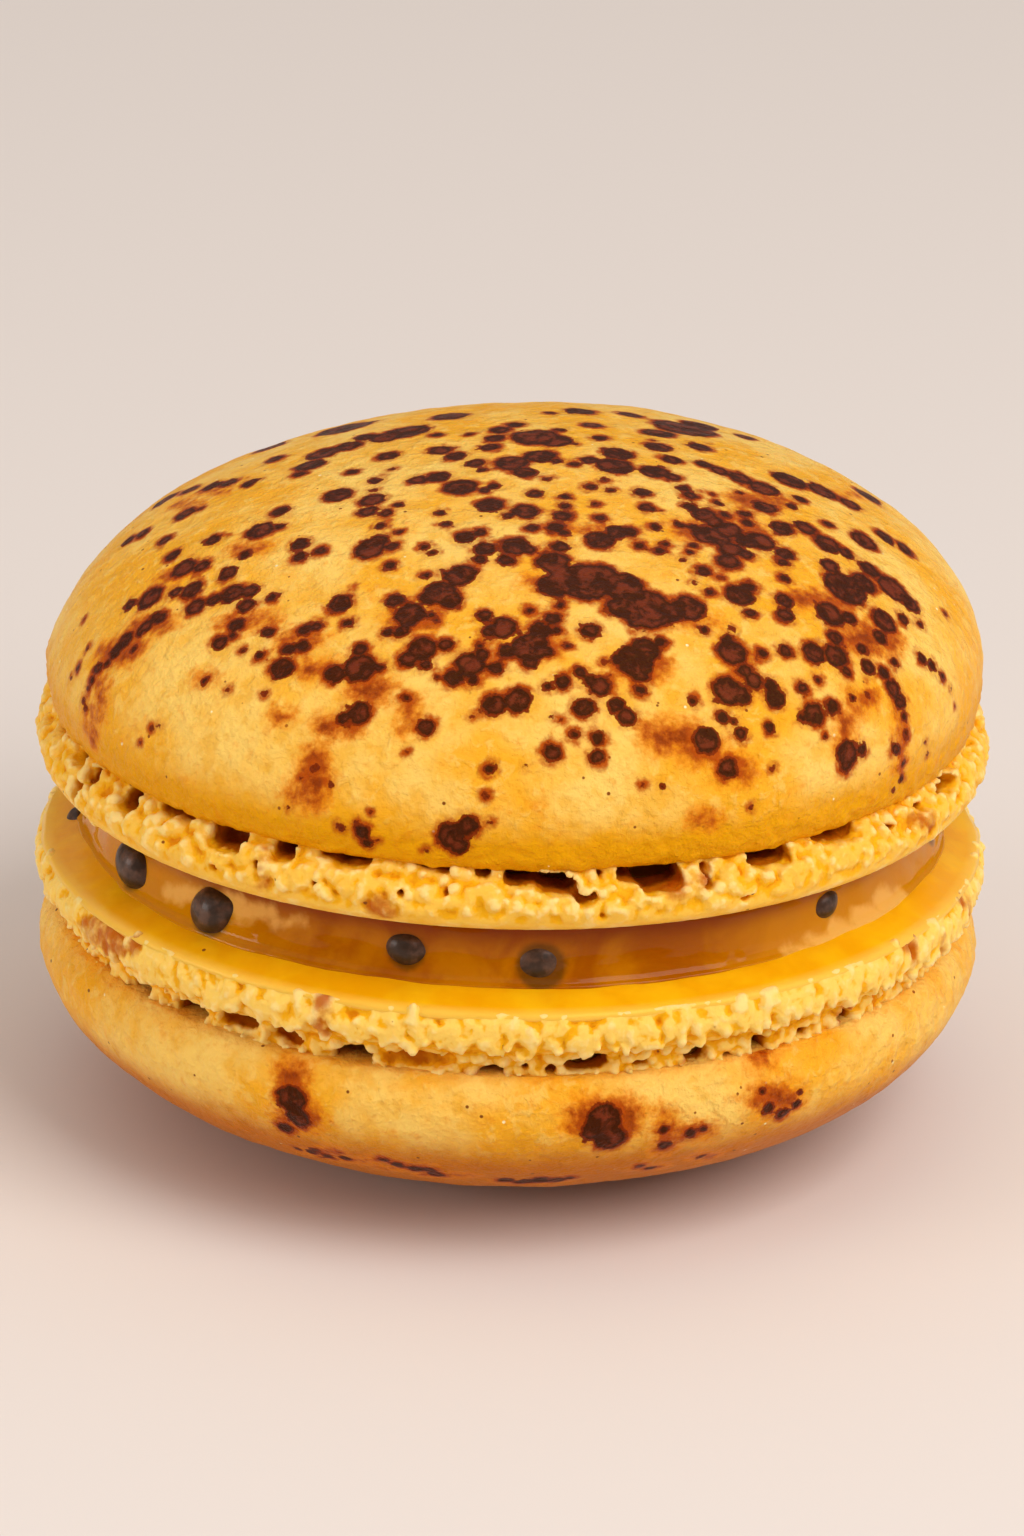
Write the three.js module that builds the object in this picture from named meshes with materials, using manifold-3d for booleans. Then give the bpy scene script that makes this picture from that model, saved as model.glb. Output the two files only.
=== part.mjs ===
// French macaron: two domed almond meringue shells, each with a ruffled foot, stuck together
// by a disc of passion fruit jelly that has the fruit's seeds in its edge.
// Millimetres, +Z up. The origin is the centre of the flat spot that the lower shell rests on.
import * as THREE from "three";
import { mergeVertices } from "three/addons/utils/BufferGeometryUtils.js";
import Module from "manifold-3d";

const wasm = await Module();
wasm.setup();

// Heights of the two flat faces that the jelly joins
const LOWER_FACE = 14.5;
const UPPER_FACE = 18.4;

// One shell as it is baked: flat face down at height 0, then the foot, the crease above it,
// the belly where the cap is widest, and the dome. Two powers set how square the dome's
// outline is, across and up. The flat spot is what the shell rests on when turned over.
const UPPER_SHELL = {
  rimRadius: 23.1,
  footRadius: 23.95,
  footWidest: 1.1,
  lipRadius: 23.35,
  creaseRadius: 22.5,
  creaseHeight: 3.4,
  bellyRadius: 23.35,
  bellyHeight: 4.9,
  height: 16.15,
  powerAcross: 1.92,
  powerUp: 2.0,
  flatSpot: 0,
  lean: 1.6,
  seed: 11,
  // Azimuth from +X in degrees, half width and depth of the holes that break the crease
  hollows: [
    [208, 1.1, 1.2], [218, 0.7, 1.4], [227, 1.5, 1.5], [235, 1.7, 1.6], [243, 1.0, 1.8],
    [250, 1.9, 1.5], [260, 2.4, 1.4], [268, 1.0, 1.6], [275, 1.8, 1.8], [283, 1.0, 1.6],
    [289, 1.9, 2.3], [302, 1.8, 1.7], [312, 0.9, 1.2], [321, 1.6, 1.2], [332, 0.8, 1.4],
  ],
};
const LOWER_SHELL = {
  rimRadius: 23.35,
  footRadius: 24.0,
  footWidest: 1.8,
  lipRadius: 23.5,
  creaseRadius: 22.4,
  creaseHeight: 3.75,
  bellyRadius: 23.76,
  bellyHeight: 6.0,
  height: LOWER_FACE,
  powerAcross: 2.33,
  powerUp: 1.79,
  flatSpot: 7.5,
  lean: 0,
  seed: 29,
  // This shell is turned over about X, so its azimuths run the other way round
  hollows: [
    [132, 1.1, 1.9], [124, 1.8, 1.4], [116, 1.7, 1.5], [109, 1.5, 1.1], [101.4, 1.6, 2.4],
    [94, 2.6, 1.2], [87, 1.4, 1.8], [79, 2.2, 1.6], [66, 1.1, 1.5], [58, 0.8, 1.7],
    [46, 1.1, 1.5], [35, 1.9, 1.0],
  ],
};

// Hollows on the side away from those lists, one to each of these steps round the crease
const HOLLOW_STEP_DEG = 11;
const HOLLOW_STRAY_DEG = 5.5;
const HOLLOW_HALF_WIDTH = [0.8, 2.2];
const HOLLOW_DEPTH = [1, 2.2];
const HOLLOW_GAP = 1;
const HOLLOW_HALF_HEIGHT = 0.95;

// The foot's outline: how far it has swelled from the rim a little way up, how far it has
// drawn in again halfway to its upper lip, and how far up that lip is
const SWELL = { share: 0.75, rise: 0.35 };
const DRAW_IN = { share: 0.35, rise: 0.5 };
const LIP_RISE = 0.86;

// The foot is a froth of crumbs, laid in courses round the rim, each a little out of place
const CRUMB_COURSES = 3;
const CRUMB_SPACING = 2.1;
const CRUMB_STRAY = { along: 0.7, up: 0.6 };
const CRUMB_RADIUS = [0.7, 1.5];
const CRUMB_RELIEF = 1.05;
const CRUMB_LEVEL = 0.62; // how much of the relief lies under the foot's mean outline
const RIM_RELIEF = 0.2; // share of the relief left at the clean edge of the flat face
const RIM_SHARE = 0.33; // share of the foot's height over which it grows to the whole

// How far a piped round strays from a circle, outwards and up and down, in three slow waves:
// how many there are round the rim, and their shares
const WAVER_OUT = 0.15;
const WAVER_UP = 0.22;
const WAVER_UP_SEED = 4;
const WAVES = [[2, 0.45], [5, 0.35], [9, 0.2]];

// Points round each ring of the foot, rings up it, and points round the cap's rings
const FOOT_POINTS = 200;
const FOOT_ROWS = 7;
const SKIRT_POINTS = [200, 168, 136];
const DOME_POINTS = [112, 104, 96, 88, 76, 64, 52, 40, 28, 16];

// Jelly: a disc with a hollowed side, spread wider where it lies on the lower shell
const JELLY = {
  baseRadius: 22.0,
  skirtHeight: 0.3,
  skirtRadius: 21.75,
  waistRadius: 21.0,
  waistHeight: 2.2,
  topRadius: 21.7,
  points: 96,
  sideRows: 6,
  seed: 2.2,
};
const SEED_SIZE = [1.45, 1.15, 1.1]; // half length, half width and half thickness
const SEED_SIDES = [10, 6];
const SEED_PROUD = 0.5;
// Azimuth in degrees, height above the lower face, and turn about the radius, of each seed
const SEEDS = [
  [184, 2.4, 20], [209, 2.0, -35], [226.5, 1.9, 40], [256.5, 2.1, -20], [273.5, 1.6, 10],
  [315.5, 1.9, 15], [348, 2.3, -30], [22, 1.7, 60], [47, 2.2, 10], [81, 1.8, -50],
  [103, 2.3, 25], [140, 1.7, -15], [161, 2.1, 70],
];

const UPPER_CRUST = { color: 0xf0b64e, roughness: 0.6, metalness: 0 };
const LOWER_CRUST = { color: 0xe9ab42, roughness: 0.6, metalness: 0 };
const WET_JELLY = { color: 0xd08a14, roughness: 0.15, metalness: 0 };

const radians = THREE.MathUtils.degToRad;
const between = THREE.MathUtils.lerp;

// A repeatable random number from 0 to 1 each time that it is called
function randomFrom(seed) {
  let state = seed >>> 0;
  return () => {
    state = (state + 0x6d2b79f5) >>> 0;
    let mixed = Math.imul(state ^ (state >>> 15), 1 | state);
    mixed = (mixed + Math.imul(mixed ^ (mixed >>> 7), 61 | mixed)) ^ mixed;
    return ((mixed ^ (mixed >>> 14)) >>> 0) / 2 ** 32;
  };
}

// How far round the rim, as an arc, two azimuths are apart
function arcBetween(a, b, radius) {
  const turn = Math.atan2(Math.sin(a - b), Math.cos(a - b));
  return Math.abs(turn) * radius;
}

// The slow unevenness of a piped and baked round, from -1 to 1
function waver(azimuth, seed) {
  return WAVES.reduce((sum, [count, share], k) => (
    sum + share * Math.sin(count * azimuth + (k + 1) * seed)
  ), 0);
}

// A closed skin over a stack of rings. A ring is a list of points that runs anticlockwise
// seen from above; neighbours may differ in number. A first and last point close the ends.
// Between rings of one number the squares' diagonals turn by turns, so that no grain shows.
function skinOver(bottom, rings, top) {
  const points = [bottom, ...rings.flat(), top];
  const faces = [];
  const starts = [];
  let next = 1;
  for (const ring of rings) {
    starts.push(next);
    next += ring.length;
  }
  const last = rings.length - 1;
  rings[0].forEach((_, i) => {
    faces.push(0, starts[0] + ((i + 1) % rings[0].length), starts[0] + i);
  });
  for (let k = 0; k < last; k++) {
    const [low, high] = [rings[k].length, rings[k + 1].length];
    let [i, j] = [0, 0];
    while (i < low || j < high) {
      const a = starts[k] + (i % low);
      const b = starts[k + 1] + (j % high);
      const lead = (i + 1) / low - (j + 1) / high;
      const lowFirst = lead < 0 || (lead === 0 && (i + k) % 2 === 0);
      if (j === high || (i < low && lowFirst)) {
        faces.push(a, starts[k] + ((i + 1) % low), b);
        i++;
      } else {
        faces.push(a, starts[k + 1] + ((j + 1) % high), b);
        j++;
      }
    }
  }
  rings[last].forEach((_, i) => {
    faces.push(starts[last] + i, starts[last] + ((i + 1) % rings[last].length), points.length - 1);
  });
  const geometry = new THREE.BufferGeometry().setFromPoints(points);
  geometry.setIndex(faces);
  return geometry;
}

// One ring of points from a function that gives the radius and height at an azimuth
function ringOf(count, at) {
  return Array.from({ length: count }, (_, i) => {
    const azimuth = (2 * Math.PI * i) / count;
    const { radius, height, shift = 0 } = at(azimuth);
    return new THREE.Vector3(
      radius * Math.cos(azimuth) + shift, radius * Math.sin(azimuth), height,
    );
  });
}

// Crumbs of the foot: where each sits round the rim and up the foot, and its radius
function crumbsOf(shell) {
  const random = randomFrom(shell.seed);
  const crumbs = [];
  const round = Math.round((2 * Math.PI * shell.footRadius) / CRUMB_SPACING);
  for (let course = 0; course < CRUMB_COURSES; course++) {
    for (let i = 0; i < round; i++) {
      const along = i + 0.5 * (course % 2) + CRUMB_STRAY.along * (random() - 0.5);
      const up = course + 0.5 + CRUMB_STRAY.up * (random() - 0.5);
      crumbs.push({
        azimuth: (2 * Math.PI * along) / round,
        height: (shell.creaseHeight * up) / CRUMB_COURSES,
        radius: between(...CRUMB_RADIUS, random()),
      });
    }
  }
  return crumbs;
}

// The froth's relief at a place on the foot, from 0 in a cleft to 1 on top of a crumb
function froth(crumbs, azimuth, height, footRadius) {
  let highest = 0;
  for (const crumb of crumbs) {
    const up = height - crumb.height;
    if (Math.abs(up) > crumb.radius) continue;
    const away = Math.hypot(arcBetween(azimuth, crumb.azimuth, footRadius), up) / crumb.radius;
    if (away < 1) highest = Math.max(highest, Math.sqrt(1 - away * away) * crumb.radius);
  }
  return highest / CRUMB_RADIUS[1];
}

// The listed hollows of the crease, and seeded ones round the side that they leave out
function hollowsOf(shell) {
  const random = randomFrom(shell.seed + 1);
  const listed = shell.hollows.map(([degrees, halfWidth, depth]) => (
    { azimuth: radians(degrees), halfWidth, depth }
  ));
  const spread = [];
  for (let degrees = 0; degrees < 360; degrees += HOLLOW_STEP_DEG) {
    const azimuth = radians(degrees + HOLLOW_STRAY_DEG * random());
    const halfWidth = between(...HOLLOW_HALF_WIDTH, random());
    const depth = between(...HOLLOW_DEPTH, random());
    const clear = listed.every((other) => (
      arcBetween(other.azimuth, azimuth, shell.creaseRadius)
        > other.halfWidth + halfWidth + HOLLOW_GAP
    ));
    if (clear) spread.push({ azimuth, halfWidth, depth });
  }
  return [...listed, ...spread];
}

// How deep the hollows cut at a place near the crease
function hollowDepth(hollows, azimuth, heightFromCrease, radius) {
  let depth = 0;
  for (const hollow of hollows) {
    const across = arcBetween(azimuth, hollow.azimuth, radius) / hollow.halfWidth;
    const up = heightFromCrease / HOLLOW_HALF_HEIGHT;
    const inside = 1 - across * across - up * up;
    if (inside > 0) depth = Math.max(depth, hollow.depth * Math.sqrt(inside));
  }
  return depth;
}

// Rings of the foot, from the flat face's edge up to just under the cap. The rim, the
// widest part, the lip and the crease lie on one curve, roughened by crumbs and hollows.
function footRings(shell) {
  const crumbs = crumbsOf(shell);
  const hollows = hollowsOf(shell);
  const { rimRadius, footRadius, footWidest, lipRadius, creaseRadius, creaseHeight } = shell;
  const lip = creaseHeight * LIP_RISE;
  const swelled = between(rimRadius, footRadius, SWELL.share);
  const drawnIn = between(footRadius, lipRadius, DRAW_IN.share);
  const outline = new THREE.CatmullRomCurve3([
    new THREE.Vector3(rimRadius, 0, 0),
    new THREE.Vector3(swelled, 0, footWidest * SWELL.rise),
    new THREE.Vector3(footRadius, 0, footWidest),
    new THREE.Vector3(drawnIn, 0, between(footWidest, lip, DRAW_IN.rise)),
    new THREE.Vector3(lipRadius, 0, lip),
    new THREE.Vector3(creaseRadius, 0, creaseHeight),
  ], false, "centripetal");
  const rings = [];
  for (let row = 0; row <= FOOT_ROWS; row++) {
    const place = outline.getPointAt(row / FOOT_ROWS);
    const rise = place.z / creaseHeight;
    const fade = Math.min(1, rise / RIM_SHARE);
    rings.push(ringOf(FOOT_POINTS, (azimuth) => {
      const relief = CRUMB_RELIEF * (froth(crumbs, azimuth, place.z, footRadius) - CRUMB_LEVEL);
      const cut = hollowDepth(hollows, azimuth, place.z - creaseHeight, creaseRadius);
      return {
        radius: place.x + between(RIM_RELIEF, 1, fade) * relief
          + WAVER_OUT * waver(azimuth, shell.seed) - cut,
        height: place.z + WAVER_UP * rise * waver(azimuth, shell.seed + WAVER_UP_SEED),
      };
    }));
  }
  return rings;
}

// Rings of the cap: its turned-under lip, the belly, and the dome up to the crown
function capRings(shell) {
  const hollows = hollowsOf(shell);
  const flatAt = (shell.flatSpot / shell.bellyRadius) ** (shell.powerAcross / 2);
  const lastTurn = Math.acos(flatAt);
  const domeHeight = (shell.height - shell.bellyHeight) / Math.sin(lastTurn) ** (2 / shell.powerUp);
  const skirt = SKIRT_POINTS.map((count, k) => {
    const turn = (Math.PI / 2) * ((k + 1) / (SKIRT_POINTS.length + 1));
    const height = between(shell.bellyHeight, shell.creaseHeight, Math.cos(turn));
    return ringOf(count, (azimuth) => ({
      radius: between(shell.creaseRadius, shell.bellyRadius, Math.sin(turn))
        + WAVER_OUT * waver(azimuth, shell.seed)
        - hollowDepth(hollows, azimuth, height - shell.creaseHeight, shell.creaseRadius),
      height: height + WAVER_UP * Math.cos(turn) * waver(azimuth, shell.seed + WAVER_UP_SEED),
    }));
  });
  const dome = DOME_POINTS.map((count, k) => {
    const turn = (lastTurn * k) / (DOME_POINTS.length - (shell.flatSpot ? 1 : 0));
    const across = Math.cos(turn) ** (2 / shell.powerAcross);
    const up = Math.sin(turn) ** (2 / shell.powerUp);
    return ringOf(count, (azimuth) => ({
      radius: shell.bellyRadius * across + WAVER_OUT * (1 - up) * waver(azimuth, shell.seed),
      height: shell.bellyHeight + domeHeight * up,
      shift: shell.lean * up,
    }));
  });
  return [...skirt, ...dome];
}

function shellGeometry(shell) {
  const flatCentre = new THREE.Vector3(0, 0, 0);
  const crown = new THREE.Vector3(shell.lean, 0, shell.height);
  return skinOver(flatCentre, [...footRings(shell), ...capRings(shell)], crown);
}

// A closed geometry as a solid that can be joined, and back again
function solidOf(geometry) {
  const bare = geometry.clone();
  bare.deleteAttribute("normal");
  bare.deleteAttribute("uv");
  const merged = mergeVertices(bare, 1e-4);
  return new wasm.Manifold(new wasm.Mesh({
    numProp: 3,
    vertProperties: merged.attributes.position.array,
    triVerts: new Uint32Array(merged.index.array),
  }));
}
function geometryOf(solid) {
  const { vertProperties, triVerts } = solid.getMesh();
  const geometry = new THREE.BufferGeometry();
  geometry.setAttribute("position", new THREE.BufferAttribute(new Float32Array(vertProperties), 3));
  geometry.setIndex(new THREE.BufferAttribute(new Uint32Array(triVerts), 1));
  return geometry;
}

// The jelly's side, from the skirt on the lower shell past the waist to the upper shell
function jellyDisc() {
  const thickness = UPPER_FACE - LOWER_FACE;
  const side = new THREE.CatmullRomCurve3([
    new THREE.Vector3(JELLY.baseRadius, 0, 0),
    new THREE.Vector3(JELLY.skirtRadius, 0, JELLY.skirtHeight),
    new THREE.Vector3(JELLY.waistRadius, 0, JELLY.waistHeight),
    new THREE.Vector3(JELLY.topRadius, 0, thickness),
  ], false, "centripetal");
  const rings = Array.from({ length: JELLY.sideRows + 1 }, (_, row) => {
    const place = side.getPointAt(row / JELLY.sideRows);
    return ringOf(JELLY.points, (azimuth) => (
      { radius: place.x + WAVER_OUT * waver(azimuth, JELLY.seed), height: LOWER_FACE + place.z }
    ));
  });
  const centre = (height) => new THREE.Vector3(0, 0, height);
  return solidOf(skinOver(centre(LOWER_FACE), rings, centre(UPPER_FACE)));
}

// A passion fruit seed, lying on the jelly's side and half sunk in it
function seedSolid([degrees, height, turn]) {
  const seed = new THREE.SphereGeometry(1, ...SEED_SIDES);
  seed.scale(SEED_SIZE[0], SEED_SIZE[2], SEED_SIZE[1]);
  seed.rotateY(radians(turn));
  seed.translate(0, SEED_SIZE[2] - JELLY.waistRadius - SEED_PROUD, LOWER_FACE + height);
  seed.rotateZ(radians(degrees + 90));
  return solidOf(seed);
}

function jellyGeometry() {
  return geometryOf(SEEDS.reduce((whole, seed) => whole.add(seedSolid(seed)), jellyDisc()));
}

function pieceOf(name, geometry, finish) {
  geometry.computeVertexNormals();
  const mesh = new THREE.Mesh(geometry, new THREE.MeshStandardMaterial(finish));
  mesh.name = name;
  return mesh;
}

const upperShell = pieceOf("shell_upper", shellGeometry(UPPER_SHELL), UPPER_CRUST);
upperShell.position.z = UPPER_FACE;

const lowerShell = pieceOf("shell_lower", shellGeometry(LOWER_SHELL), LOWER_CRUST);
lowerShell.rotation.x = Math.PI;
lowerShell.position.z = LOWER_FACE;

const macaron = new THREE.Group();
macaron.add(lowerShell, pieceOf("jelly_filling", jellyGeometry(), WET_JELLY), upperShell);

export default macaron;
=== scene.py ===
# French macaron: two domed almond meringue shells with frothy feet, the flat faces joined by
# a disc of passion fruit jelly. Lengths are in metres, and MM turns millimetres into them.
import math
import random

import bmesh
import bpy
import numpy as np
from mathutils import Matrix, Quaternion, Vector, noise
from mathutils.bvhtree import BVHTree


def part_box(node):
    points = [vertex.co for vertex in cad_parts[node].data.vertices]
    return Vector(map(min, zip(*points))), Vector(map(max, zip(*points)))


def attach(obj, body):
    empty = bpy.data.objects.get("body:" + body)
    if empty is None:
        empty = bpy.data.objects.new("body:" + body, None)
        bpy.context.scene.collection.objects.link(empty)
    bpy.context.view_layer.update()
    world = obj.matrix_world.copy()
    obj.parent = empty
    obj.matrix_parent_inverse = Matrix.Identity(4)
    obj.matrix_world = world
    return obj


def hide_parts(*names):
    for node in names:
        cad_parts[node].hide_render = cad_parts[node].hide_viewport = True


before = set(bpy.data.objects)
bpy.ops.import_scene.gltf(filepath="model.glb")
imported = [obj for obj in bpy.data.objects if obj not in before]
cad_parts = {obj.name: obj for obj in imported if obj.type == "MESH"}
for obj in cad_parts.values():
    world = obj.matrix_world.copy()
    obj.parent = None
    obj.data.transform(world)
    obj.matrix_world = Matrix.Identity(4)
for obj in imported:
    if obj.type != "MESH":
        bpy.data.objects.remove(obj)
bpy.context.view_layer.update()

MM = 0.001


# The view: a long lens a third of a metre off, 22 degrees above level and rolled a little, as
# the photograph was taken. Pixels named in this file are those of the photograph, 1024 x 1536.
photo_width = 1024
photo_height = 1536
sensor_size = 36.0
lens_length = 153.1
view_elevation = math.radians(22.0)
view_roll = math.radians(1.35)
view_distance = 330 * MM
view_aim = Vector((0, 0, 17.4 * MM))

view_direction = Vector((0, math.cos(view_elevation), -math.sin(view_elevation)))
camera_data = bpy.data.cameras.new("camera")
camera_data.lens = lens_length
camera_data.sensor_width = sensor_size
camera_data.clip_start = 10 * MM
camera = bpy.data.objects.new("camera", camera_data)
camera.location = view_aim - view_direction * view_distance
camera.rotation_mode = "QUATERNION"
camera.rotation_quaternion = (
    view_direction.to_track_quat("-Z", "Y") @ Quaternion((0, 0, 1), view_roll))
bpy.context.scene.collection.objects.link(camera)
bpy.context.scene.camera = camera


def sight_line(pixel_x, pixel_y):
    """Direction from the camera through a pixel of the photograph."""
    step = sensor_size / photo_height
    through = Vector((
        (pixel_x - photo_width / 2) * step, (photo_height / 2 - pixel_y) * step, -lens_length))
    return (camera.rotation_quaternion @ through).normalized()


def half_length(pixels, distance):
    """Half of the real length that some pixels span at a distance from the camera."""
    return 0.5 * pixels * distance * sensor_size / photo_height / lens_length


# Upper cap: the smooth crust of the upper shell, a dome of baked almond meringue whose crown
# leans a little to the right, with brown fruit syrup spattered over it. It is a fine ball
# pressed to the dome's outline and roughened, with its lower edge turned in over the foot.
lower_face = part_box("jelly_filling")[0].z
upper_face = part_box("jelly_filling")[1].z
crown_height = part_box("shell_upper")[1].z
upper_belly = upper_face + 4.75 * MM
crust_waves = ((7.5 * MM, 0.16 * MM), (2.4 * MM, 0.07 * MM), (0.9 * MM, 0.035 * MM))
crumbly_waves = ((1.0 * MM, 0.30 * MM), (0.5 * MM, 0.16 * MM))
crumbly_band = 3.6 * MM

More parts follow.
